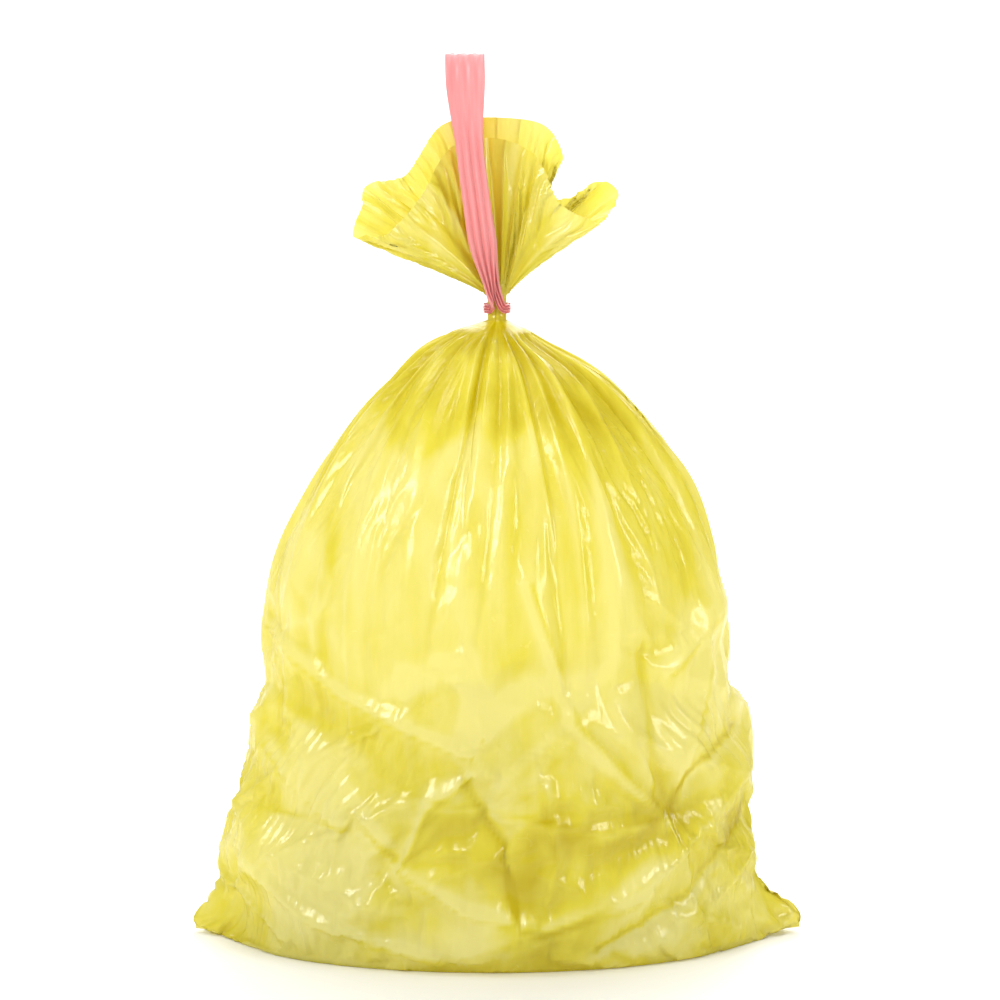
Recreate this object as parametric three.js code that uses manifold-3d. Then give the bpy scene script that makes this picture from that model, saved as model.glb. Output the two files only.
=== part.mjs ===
// Drawstring garbage bag, filled and cinched, standing on its own flat bottom.
// Millimetres, +Z up, +X to the viewer's right, -Y towards the viewer.
// The origin is at the middle of the bag's footprint, on the floor.
//
// Pieces: the film bag, open through its gathered neck; what it holds, as one heap;
// and the two flat drawtapes, each gathered round half of the neck and pulled up into a loop.

import * as THREE from "three";
import { mergeVertices } from "three/addons/utils/BufferGeometryUtils.js";
import Module from "manifold-3d";

// Film bag
const bodyHeight = 424; // floor to the foot of the neck
const bodyHalfWidth = 184; // widest side reach, without the corner ears
const bodyHalfDepth = 122; // widest reach to the front and back
const filmWall = 1.2; // the film, thickened so that it makes a solid
const filmGap = 0.5; // between the film and what it holds
const shoulder = 0.97; // share of the outline where the inner face closes in on the neck
const leftEarLength = 27; // corner of the bottom seal, beyond the side
const rightEarLength = 33.2;
const earHeight = 13; // centre of the ears above the floor
const earThickness = 24; // reach of an ear above and below its centre
const earSpread = 0.17; // angular half-width of an ear, in radians
const neckRadius = 6.4;
const neckBore = 2.4; // radius of the opening that the gathers leave
const neckLength = 16;

// Folds of the film
const pleatCount = 21; // main pleats that run down from the neck
const pleatDepth = 5.5;
const pleatLength = 290; // the longest of them
const slackDepth = 7; // slanted folds of the slack film round the lower half
const slackHeight = 270; // how far up they reach

// Frill above the neck
const frillLength = 120; // from the neck to the rim
const frillWall = 1.2;

// Drawtapes
const tapeWidth = 26;
const tapeCreasedWidth = 18; // what the creased strands of a loop show of that width
const tapeThickness = 0.9;
const tapeBunch = 1.7; // radius of a tape where it is gathered round the neck
const tapeGap = 0.3; // between the tapes and the neck
const tapeSplit = 5.2; // from the middle plane to a loop's inner strand
const lobeGap = 0.5; // between the frill's middle lobe and the loops beside it

// Mesh density
const segments = 60;
const bodyRings = 25;
const frillRings = 7;
const bundleSegments = 14;
const tapeSteps = 61;
const tapeSides = 8;

// The body's outline, from the floor to the neck: height as a share of bodyHeight, then the reach
// to each side as a share of the half width or half depth.
const bodyOutline = [
  { height: 0.0, left: 0.965, right: 0.93, front: 0.86, back: 0.86 },
  { height: 0.045, left: 1.0, right: 0.965, front: 0.945, back: 0.945 },
  { height: 0.11, left: 1.025, right: 0.97, front: 0.985, back: 0.985 },
  { height: 0.175, left: 1.015, right: 0.975, front: 0.99, back: 1.0 },
  { height: 0.24, left: 0.975, right: 0.955, front: 0.975, back: 1.0 },
  { height: 0.305, left: 0.925, right: 0.957, front: 0.985, back: 1.0 },
  { height: 0.37, left: 0.885, right: 0.9, front: 1.0, back: 1.0 },
  { height: 0.42, left: 0.86, right: 0.852, front: 1.0, back: 0.995 },
  { height: 0.53, left: 0.848, right: 0.84, front: 0.98, back: 0.98 },
  { height: 0.63, left: 0.805, right: 0.8, front: 0.94, back: 0.94 },
  { height: 0.727, left: 0.71, right: 0.715, front: 0.85, back: 0.85 },
  { height: 0.79, left: 0.63, right: 0.62, front: 0.76, back: 0.76 },
  { height: 0.856, left: 0.52, right: 0.5, front: 0.63, back: 0.63 },
  { height: 0.92, left: 0.375, right: 0.36, front: 0.46, back: 0.46 },
  { height: 0.97, left: 0.225, right: 0.17, front: 0.26, back: 0.26 },
];

// The two sets of slack folds: how many waves run round the bag, and by how many radians they turn
// in each 100 mm up and at the start.
const slackFolds = [
  { round: 3, up: 5.6, start: 0.4 },
  { round: 4, up: -5.1, start: 1.1 },
];

// The bundles of rubbish in the heap: middle in x, y and z, and reach from it along each.
const bundles = [
  { middle: [-105, -10, 42], reach: [58, 66, 52] },
  { middle: [-20, -42, 40], reach: [52, 48, 50] },
  { middle: [72, -22, 46], reach: [56, 58, 56] },
  { middle: [122, 18, 50], reach: [44, 50, 60] },
  { middle: [-70, 44, 46], reach: [60, 46, 56] },
  { middle: [30, 48, 44], reach: [62, 46, 54] },
  { middle: [-96, -4, 124], reach: [44, 52, 46] },
  { middle: [92, 6, 126], reach: [44, 52, 48] },
  { middle: [-30, 22, 126], reach: [46, 50, 44] },
  { middle: [28, -12, 90], reach: [34, 46, 38] },
  { middle: [34, 26, 148], reach: [44, 44, 40] },
];

// The frill's middle lobe lies flat between the two loops.
const lobeReach = (tapeSplit - tapeThickness / 2 - lobeGap) / frillLength;

// The frill's rim, right round from the right-hand side by way of the back: its reach in x and y
// and its height above the neck, as shares of frillLength.
const rimOutline = [
  [0.69, 0.0, 0.57],
  [0.6, 0.13, 0.66],
  [0.42, 0.12, 0.54],
  [0.3, 0.05, 0.58],
  [0.35, 0.9 * lobeReach, 0.8],
  [0.26, lobeReach, 0.98],
  [0.0, lobeReach, 1.0],
  [-0.3, lobeReach, 0.99],
  [-0.42, 0.12, 0.8],
  [-0.53, 0.2, 0.64],
  [-0.76, 0.1, 0.63],
  [-0.74, -0.05, 0.52],
  [-0.82, -0.16, 0.36],
  [-0.6, -0.26, 0.36],
  [-0.4, -0.12, 0.58],
  [-0.26, -lobeReach, 0.85],
  [-0.02, -0.9 * lobeReach, 0.9],
  [0.2, -lobeReach, 0.82],
  [0.34, -0.15, 0.52],
  [0.56, -0.18, 0.42],
];

// A drawtape's route: x, the distance from the middle plane and the height above the neck's foot.
// It starts at the left-hand seam and runs round half of the neck, up the outer strand, over and
// down the inner strand, and round to the right-hand seam.
const tapeRoute = [
  [-8.2, 1.8, 8], [-7.3, 4.1, 8], [-5.7, 6.2, 8], [-3.7, 7.6, 8.6],
  [-3.6, 9.6, 15], [-5.4, 12, 26], [-8.6, 15.4, 42], [-11.5, 19.2, 62], [-14.3, 22.2, 84],
  [-17.2, 24.2, 107], [-19.4, 25.2, 130], [-20.6, 25.2, 150], [-21.2, 23.8, 166], [-21.4, 20.2, 175],
  [-21.4, 14.8, 178],
  [-21.4, 9.2, 175], [-21.2, 6, 166], [-20.6, 5.2, 150], [-19.4, 5.6, 130], [-17.2, 6.8, 107],
  [-14, 8.4, 84], [-10.6, 9.4, 62], [-6.6, 9.4, 42], [-2.6, 8.9, 26], [1.2, 8.4, 15],
  [3.7, 7.6, 8.6], [5.7, 6.2, 8], [7.3, 4.1, 8], [8.2, 1.8, 8],
];

const { smoothstep, lerp } = THREE.MathUtils;
const fromLeftToRight = new THREE.Vector3(1, 0, 0);
const up = new THREE.Vector3(0, 0, 1);

// Closes a stack of rings, each a list of as many points, into one solid. A point at each end of
// the stack closes it. The rings run anticlockwise seen from above, from the bottom of the outer
// face onwards.
function solidFromRings(firstPoint, rings, lastPoint) {
  const around = rings[0].length;
  const points = [firstPoint, ...rings.flat(), lastPoint];
  const at = (ring, step) => 1 + ring * around + (step % around);
  const last = points.length - 1;
  const faces = [];
  for (let step = 0; step < around; step++) {
    faces.push(0, at(0, step + 1), at(0, step));
    faces.push(last, at(rings.length - 1, step), at(rings.length - 1, step + 1));
    for (let ring = 0; ring + 1 < rings.length; ring++) {
      faces.push(at(ring, step), at(ring, step + 1), at(ring + 1, step + 1));
      faces.push(at(ring, step), at(ring + 1, step + 1), at(ring + 1, step));
    }
  }
  const geometry = new THREE.BufferGeometry().setFromPoints(points);
  geometry.setIndex(faces);
  return mergeVertices(geometry);
}

// Evenly spread values from one number to another, both included.
function spread(from, to, count) {
  return Array.from({ length: count }, (_, i) => THREE.MathUtils.lerp(from, to, i / (count - 1)));
}

// One closed ring of points from a function of the angle.
function ringOf(pointAt) {
  return Array.from({ length: segments }, (_, step) => pointAt((2 * Math.PI * step) / segments));
}

// Smooth curves through the outline, read at the same share along.
const neckStation = { height: 1, left: neckRadius / bodyHalfWidth, right: neckRadius / bodyHalfWidth };
const stations = [
  ...bodyOutline,
  { ...neckStation, front: neckRadius / bodyHalfDepth, back: neckRadius / bodyHalfDepth },
];
const sideCurve = new THREE.CatmullRomCurve3(
  stations.map((s) => new THREE.Vector3(s.left * bodyHalfWidth, s.right * bodyHalfWidth, s.height * bodyHeight)),
  false, "catmullrom", 0.5,
);
const depthCurve = new THREE.CatmullRomCurve3(
  stations.map((s) => new THREE.Vector3(s.front * bodyHalfDepth, s.back * bodyHalfDepth, s.height * bodyHeight)),
  false, "catmullrom", 0.5,
);

// The corner of the bottom seal that sticks out on each side, near the floor.
function earReach(angle, height) {
  const level = Math.exp(-(((height - earHeight) / (earThickness / 2)) ** 2));
  const fromRight = Math.atan2(Math.sin(angle), Math.cos(angle));
  const fromLeft = Math.atan2(-Math.sin(angle), -Math.cos(angle));
  const right = rightEarLength * Math.exp(-((fromRight / earSpread) ** 2));
  const left = leftEarLength * Math.exp(-((fromLeft / earSpread) ** 2));
  return level * (right - left);
}

// A point of the body's smooth form, at an angle round it and a share along its outline.
function smoothPoint(angle, share) {
  const sides = sideCurve.getPoint(share);
  const depths = depthCurve.getPoint(share);
  const x = Math.cos(angle) * (Math.cos(angle) > 0 ? sides.y : sides.x);
  const y = Math.sin(angle) * (Math.sin(angle) > 0 ? depths.y : depths.x);
  return new THREE.Vector3(x, y, sides.z);
}

// The smooth form's outward normal there.
function smoothNormal(angle, share) {
  const step = 1e-3;
  const around = smoothPoint(angle + step, share).sub(smoothPoint(angle - step, share));
  const low = Math.max(share - step, 0);
  const high = Math.min(share + step, 1);
  const upwards = smoothPoint(angle, high).sub(smoothPoint(angle, low));
  return around.cross(upwards).normalize();
}

// How far the pleats that run down from the neck lift the film.
function pleatLift(angle, height) {
  const away = Math.max(bodyHeight - height, 0); // never below zero by rounding at the neck
  const apart = (2 * Math.PI) / pleatCount;
  let lift = 0;
  for (let i = 0; i < pleatCount; i++) {
    const sway = 0.3 * Math.sin(3.7 * i) * (away / bodyHeight) ** 1.5;
    const middle = (i + 0.35 * Math.sin(5.1 * i)) * apart + sway;
    const gap = Math.atan2(Math.sin(angle - middle), Math.cos(angle - middle));
    const length = pleatLength * (0.65 + 0.35 * Math.sin(2.3 * i));
    const depth = pleatDepth * (i % 2 ? -1 : 1) * (0.8 + 0.2 * Math.cos(1.7 * i));
    const along = smoothstep(away, 8, 70) * (1 - smoothstep(away, 0.5 * length, length));
    lift += depth * Math.exp(-Math.abs(gap) / (0.3 * apart)) * along;
  }
  return lift;
}

// How far the slanted folds of the slack film lift it, low down.
function slackLift(angle, height) {
  const along = smoothstep(height, 4, 45) * (1 - smoothstep(height, 0.55 * slackHeight, slackHeight));
  const ridges = slackFolds.map(
    ({ round, up, start }) => (1 - Math.abs(Math.sin(round * angle + (up * height) / 100 + start))) ** 2 - 0.4,
  );
  return 0.5 * slackDepth * along * ridges.reduce((sum, ridge) => sum + ridge, 0);
}

// A point of the folded film at a depth inside its outer face, which alone carries the ears.
function filmPoint(angle, share, inset = 0) {
  const point = smoothPoint(angle, share);
  const ear = inset === 0 && share > 0 ? earReach(angle, point.z) : 0;
  const lift = pleatLift(angle, point.z) + slackLift(angle, point.z);
  point.addScaledVector(smoothNormal(angle, share), lift - inset);
  point.x += ear;
  point.z = Math.max(point.z, inset);
  return point;
}

const rimCurve = new THREE.CatmullRomCurve3(
  rimOutline.map(([x, y, z]) => new THREE.Vector3(x, y, z).multiplyScalar(frillLength)),
  true, "catmullrom", 0.5,
);

// A point of the frill's outer face: on the neck at share 0 and on the rim at share 1.
function frillPoint(angle, share) {
  const neck = new THREE.Vector3(Math.cos(angle), Math.sin(angle), 0).multiplyScalar(neckRadius);
  const turn = (angle / (2 * Math.PI) + 1) % 1;
  const rim = rimCurve.getPoint(turn);
  const outwards = share ** 1.25;
  return new THREE.Vector3(
    THREE.MathUtils.lerp(neck.x, rim.x, outwards),
    THREE.MathUtils.lerp(neck.y, rim.y, outwards),
    bodyHeight + neckLength + rim.z * share,
  );
}

// The same point on the frill's inner face.
function frillInnerPoint(angle, share) {
  const step = 2e-3;
  const around = frillPoint(angle + step, share).sub(frillPoint(angle - step, share));
  const upwards = frillPoint(angle, share + step).sub(frillPoint(angle, share - step));
  return frillPoint(angle, share).addScaledVector(around.cross(upwards).normalize(), -frillWall);
}

function neckRing(radius, height) {
  return ringOf((angle) => new THREE.Vector3(radius * Math.cos(angle), radius * Math.sin(angle), height));
}

// The film bag: up its outer face, over the rim, and down its inner face.
function filmBag() {
  const bodyShares = spread(0, 1, bodyRings);
  const frillShares = spread(0, 1, frillRings).slice(1);
  const innerShares = bodyShares.filter((share) => share < shoulder).reverse();
  const outer = [
    ...bodyShares.map((share) => ringOf((angle) => filmPoint(angle, share))),
    neckRing(neckRadius, bodyHeight + neckLength),
    ...frillShares.map((share) => ringOf((angle) => frillPoint(angle, share))),
  ];
  const inner = [
    ...frillShares.slice(1).reverse().map((share) => ringOf((angle) => frillInnerPoint(angle, share))),
    neckRing(neckBore, bodyHeight + neckLength),
    neckRing(neckBore, bodyHeight - 2 * filmWall),
    ...innerShares.map((share) => ringOf((angle) => filmPoint(angle, share, filmWall))),
  ];
  const floor = new THREE.Vector3(0, 0, 0);
  const innerFloor = new THREE.Vector3(0, 0, filmWall);
  return solidFromRings(floor, [...outer, ...inner], innerFloor);
}

// Turns a closed geometry into a solid that can be joined and cut, and back.
const manifold = await Module();
manifold.setup();

function toSolid(geometry) {
  const merged = mergeVertices(geometry.deleteAttribute("normal").deleteAttribute("uv"));
  const vertProperties = Float32Array.from(merged.getAttribute("position").array);
  const triVerts = Uint32Array.from(merged.getIndex().array);
  return new manifold.Manifold(new manifold.Mesh({ numProp: 3, vertProperties, triVerts }));
}

function fromSolid(solid) {
  const { vertProperties, triVerts } = solid.getMesh();
  const geometry = new THREE.BufferGeometry();
  geometry.setAttribute("position", new THREE.BufferAttribute(vertProperties, 3));
  geometry.setIndex(new THREE.BufferAttribute(triVerts, 1));
  return geometry;
}

// What the bag holds: a heap of soft bundles, kept just inside the film.
function contentsCore() {
  const inset = filmWall + filmGap;
  const shares = spread(0, 1, bodyRings).filter((share) => share < shoulder);
  const rings = shares.map((share) => ringOf((angle) => filmPoint(angle, share, inset)));
  const top = rings[rings.length - 1].reduce((sum, point) => sum + point.z, 0) / segments;
  const room = solidFromRings(new THREE.Vector3(0, 0, inset), rings, new THREE.Vector3(0, 0, top));
  const heap = bundles
    .map(({ middle, reach }) => {
      const bundle = new THREE.SphereGeometry(1, bundleSegments, bundleSegments / 2);
      return toSolid(bundle.scale(...reach).translate(...middle));
    })
    .reduce((joined, bundle) => joined.add(bundle));
  return fromSolid(heap.intersect(toSolid(room)));
}

// A flat tape along its route: gathered to a bunch round the neck, creased in the strands and full
// width over the top of the loop. side is -1 for the front tape and 1 for the back one.
function drawtape(side) {
  const path = new THREE.CatmullRomCurve3(
    tapeRoute.map(([x, out, height]) => new THREE.Vector3(x, side * out, bodyHeight + height)),
  );
  const shares = spread(0, 1, tapeSteps);
  const centres = shares.map((share) => path.getPoint(share));
  const travelled = [0];
  for (let i = 1; i < tapeSteps; i++) travelled.push(travelled[i - 1] + centres[i].distanceTo(centres[i - 1]));
  const length = travelled[tapeSteps - 1];
  const gathered = 0.5 * Math.PI * (neckRadius + tapeGap + tapeBunch);
  const rings = shares.map((share, step) => {
    const along = path.getTangent(share);
    const fromNeck = Math.min(travelled[step], length - travelled[step]) - gathered;
    const flat = smoothstep(fromNeck, -0.4 * gathered, 2 * gathered);
    const creased = lerp(tapeBunch, tapeCreasedWidth / 2, smoothstep(fromNeck, 0, 3.5 * gathered));
    const halfWidth = lerp(creased, tapeWidth / 2, smoothstep(fromNeck, length / 3.6, length / 2.4));
    const halfThickness = lerp(tapeBunch, tapeThickness / 2, flat);
    const across = fromLeftToRight.clone().lerp(up, 1 - flat);
    across.addScaledVector(along, -across.dot(along)).normalize();
    const outwards = new THREE.Vector3().crossVectors(along, across);
    return Array.from({ length: tapeSides }, (_, i) => {
      const angle = (2 * Math.PI * i) / tapeSides;
      return centres[step].clone()
        .addScaledVector(across, halfWidth * Math.cos(angle))
        .addScaledVector(outwards, halfThickness * Math.sin(angle));
    });
  });
  return solidFromRings(centres[0], rings, centres[tapeSteps - 1]);
}

function piece(name, geometry, colour, roughness) {
  const material = new THREE.MeshStandardMaterial({ color: colour, roughness, metalness: 0 });
  const mesh = new THREE.Mesh(geometry, material);
  mesh.name = name;
  return mesh;
}

const film = piece("film_bag", filmBag(), 0xe8dc50, 0.32);
const footprint = new THREE.Box3().setFromObject(film).getCenter(new THREE.Vector3());

const bag = new THREE.Group();
bag.position.set(-footprint.x, -footprint.y, 0);
bag.add(film);
bag.add(piece("contents_core", contentsCore(), 0xd8cf9a, 0.8));
bag.add(piece("drawtape_front", drawtape(-1), 0xfa8f90, 0.38));
bag.add(piece("drawtape_back", drawtape(1), 0xfa8f90, 0.38));

export default bag;
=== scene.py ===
"""Looks of a filled drawstring garbage bag: translucent yellow film, cinched at the neck, with two
pink drawtapes pulled up into loops. Metres, +Z up, +X to the viewer's right, -Y to the viewer."""

import logging
import math
from dataclasses import dataclass, field
from enum import Enum

import bpy
import numpy as np
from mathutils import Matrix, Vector

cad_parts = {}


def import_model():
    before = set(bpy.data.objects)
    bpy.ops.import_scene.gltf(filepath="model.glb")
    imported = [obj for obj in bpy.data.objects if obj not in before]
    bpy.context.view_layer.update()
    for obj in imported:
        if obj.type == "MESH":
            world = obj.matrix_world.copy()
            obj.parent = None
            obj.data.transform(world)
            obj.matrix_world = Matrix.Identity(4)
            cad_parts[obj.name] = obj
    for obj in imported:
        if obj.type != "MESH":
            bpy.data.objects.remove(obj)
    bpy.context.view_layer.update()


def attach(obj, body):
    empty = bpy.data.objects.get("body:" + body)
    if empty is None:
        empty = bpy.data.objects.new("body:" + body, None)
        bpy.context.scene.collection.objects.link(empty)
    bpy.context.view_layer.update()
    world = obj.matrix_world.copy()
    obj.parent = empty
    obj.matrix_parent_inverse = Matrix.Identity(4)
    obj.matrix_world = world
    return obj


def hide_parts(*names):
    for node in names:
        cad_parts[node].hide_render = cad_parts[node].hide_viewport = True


LOG = logging.getLogger("garbage_bag")
MM = 0.001
ROOT = "root"
FULL_TURN = 2.0 * math.pi

Array = np.ndarray
Piece = bpy.types.Object
Socket = bpy.types.NodeSocket
Material = bpy.types.Material
Triple = tuple[float, float, float]


class Slot(Enum):
    """The record's material slots."""

    FILM = "yellow_film"
    TAPE = "pink_tape"
    CONTENTS = "contents"


class Side(Enum):
    """Which drawtape: the sign of its side of the middle plane."""

    FRONT = -1.0
    BACK = 1.0


def smoothstep(value: Array, low: float, high: float) -> Array:
    """Rise smoothly from 0 to 1 between a low and a high value."""
    share = np.clip((np.asarray(value, float) - low) / (high - low), 0.0, 1.0)
    return share * share * (3.0 - 2.0 * share)


def catmull(points: Array, shares: Array, closed: bool = False) -> Array:
    """Read a smooth curve through points, at even steps of the points' own numbering.

    Args:
        points: One row of numbers for each point.
        shares: Where to read the curve, from 0 to 1.
        closed: Whether the last point joins the first.

    Returns:
        One row for each share.
    """
    points = np.asarray(points, float)
    count = len(points)
    spans = count if closed else count - 1
    if closed:
        padded = np.vstack([points[-1], points, points[:2]])
    else:
        padded = np.vstack([2 * points[0] - points[1], points, 2 * points[-1] - points[-2]])
    place = np.asarray(shares, float) % 1.0 * spans if closed else np.clip(shares, 0, 1) * spans
    span = np.minimum(place.astype(int), spans - 1)
    t = (place - span)[:, None]
    a, b, c, d = (padded[span + i] for i in range(4))
    square, cube = 2 * a - 5 * b + 4 * c - d, 3 * b - a - 3 * c + d
    return 0.5 * (2 * b + (c - a) * t + square * t**2 + cube * t**3)


def lengths_along(points: Array) -> Array:
    """Give the length of a polyline from its start to each of its points."""
    return np.r_[0.0, np.cumsum(np.linalg.norm(np.diff(points, axis=0), axis=1))]


def resample(points: Array, wanted: Array) -> Array:
    """Read a polyline at wanted shares of its whole length."""
    travelled = lengths_along(points)
    return np.stack([np.interp(wanted * travelled[-1], travelled, c) for c in points.T], axis=-1)


def soft_noise(shape: tuple[int, int], across: float, along: float, seed: int) -> Array:
    """Make smooth seeded noise over a grid, about -1 to 1, that joins up with itself all round.

    Args:
        shape: Rows and columns of the grid.
        across: Size of its bumps along a row, in columns.
        along: Size of its bumps along a column, in rows.
        seed: Seed of the random numbers.

    Returns:
        The noise, one number for each grid point, with a spread of one.
    """
    white = np.random.default_rng(seed).standard_normal(shape)
    rows = np.fft.fftfreq(shape[0])[:, None] * along
    columns = np.fft.fftfreq(shape[1])[None, :] * across
    reach = rows**2 + columns**2
    band = reach * np.exp(-reach * 3.0)
    noise = np.fft.ifft2(np.fft.fft2(white) * band).real
    return noise / noise.std()


def facets(shape: tuple[int, int], cells: tuple[int, int], warp: float, seed: int) -> Array:
    """Make a crumpled field over a grid: flat three-cornered facets that meet in sharp creases.

    Args:
        shape: Rows and columns of the grid.
        cells: How many facets the field has up and round the grid.
        warp: How far the creases wander, as a share of a facet.
        seed: Seed of the random numbers.

    Returns:
        The field, one number for each grid point, with a spread of one.
    """
    rng = np.random.default_rng(seed)
    heights = rng.standard_normal((cells[0] + 1, cells[1]))
    flipped = rng.random((cells[0], cells[1])) < 0.5
    facet_rows, facet_columns = shape[0] / cells[0], shape[1] / cells[1]
    row, column = np.meshgrid(np.arange(shape[0]), np.arange(shape[1]), indexing="ij")
    size = (facet_columns * 2.2, facet_rows * 2.2)
    up = np.clip(row / facet_rows + warp * soft_noise(shape, *size, seed + 1), 0, cells[0] - 1e-6)
    side = column / facet_columns + warp * soft_noise(shape, *size, seed + 2)
    i, j = np.floor(up).astype(int), np.floor(side).astype(int)
    t, u = up - i, side - j
    j, beside = j % cells[1], (j + 1) % cells[1]
    low, low_beside = heights[i, j], heights[i, beside]
    high, high_beside = heights[i + 1, j], heights[i + 1, beside]
    rising = np.where(
        u > t,
        low + u * (low_beside - low) + t * (high_beside - low_beside),
        low + t * (high - low) + u * (high_beside - high),
    )
    falling = np.where(
        u + t < 1,
        low + u * (low_beside - low) + t * (high - low),
        high_beside + (1 - u) * (high - high_beside) + (1 - t) * (low_beside - high_beside),
    )
    field_values = np.where(flipped[i, j], falling, rising)
    return field_values / field_values.std()


def grid_normals(points: Array) -> Array:
    """Find the outward normal at each point of a grid that closes round its rows.

    Args:
        points: Rows, columns and three coordinates.

    Returns:
        Unit normals in the same layout.
    """
    around = np.roll(points, -1, 1) - np.roll(points, 1, 1)
    upwards = np.gradient(points, axis=0)
    normal = np.cross(around, upwards)
    return normal / np.maximum(np.linalg.norm(normal, axis=2, keepdims=True), 1e-12)


def grid_faces(rows: int, columns: int, closed: bool = True) -> Array:
    """List the quads of a grid of points.

    Args:
        rows: How many rows of points it has.
        columns: How many points a row has.
        closed: Whether each row joins up with itself.

    Returns:
        Four point numbers for each quad.
    """
    wide = columns if closed else columns - 1
    row, column = np.meshgrid(np.arange(rows - 1), np.arange(wide), indexing="ij")
    beside = (column + 1) % columns
    low, high = row * columns, (row + 1) * columns
    corners = [low + column, low + beside, high + beside, high + column]
    return np.stack(corners, axis=-1).reshape(-1, 4)


def add_mesh(name: str, points: Array, faces: list[list[int]]) -> Piece:
    """Make a smooth-shaded mesh.

    Args:
        name: The object's name.
        points: Three coordinates for each point, in any layout.
        faces: The point numbers of each face.

    Returns:
        The new object, linked to the scene.
    """
    mesh = bpy.data.meshes.new(name)
    mesh.from_pydata(points.reshape(-1, 3).tolist(), [], faces)
    mesh.polygons.foreach_set("use_smooth", [True] * len(mesh.polygons))
    mesh.update()
    piece = bpy.data.objects.new(name, mesh)
    bpy.context.scene.collection.objects.link(piece)
    return piece


def give_values(piece: Piece, name: str, values: Array) -> None:
    """Store one number for each point of a mesh, for its material to read."""
    attribute = piece.data.attributes.new(name, "FLOAT", "POINT")
    attribute.data.foreach_set("value", np.ascontiguousarray(values, np.float32).ravel())


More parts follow.
